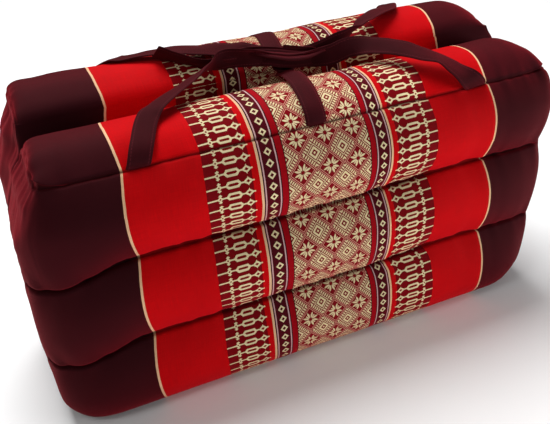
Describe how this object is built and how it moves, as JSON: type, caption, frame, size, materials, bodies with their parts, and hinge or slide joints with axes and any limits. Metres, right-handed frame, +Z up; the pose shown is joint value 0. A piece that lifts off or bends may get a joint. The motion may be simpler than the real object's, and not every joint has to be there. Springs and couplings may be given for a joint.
{
  "type": "folding floor cushion",
  "caption": "Stuffed floor cushion with sewn channels, folded shut like a book, with strap handles and ties knotted over the valley.",
  "frame": {"origin": "middle of the object's underside, on the floor it stands on", "axes": "+X along the length of the leaves, front leaf towards -Y, +Z up"},
  "size_m": [0.5571, 0.227, 0.3197],
  "materials": {
    "cushion_cloth": "woven cotton, matte with a faint sheen",
    "fold_cloth": "plain cotton, matte",
    "strap_cloth": "plain folded cotton strap, matte"
  },
  "bodies": {
    "root": {"front_leaf": "cushion_cloth", "back_leaf": "cushion_cloth", "fold_strip": "fold_cloth", "handle_front": "strap_cloth", "handle_back": "strap_cloth", "tie_front": "strap_cloth", "tie_back": "strap_cloth", "tie_knot": "strap_cloth", "tie_end_left": "strap_cloth", "tie_end_right": "strap_cloth"}
  },
  "joints": []
}
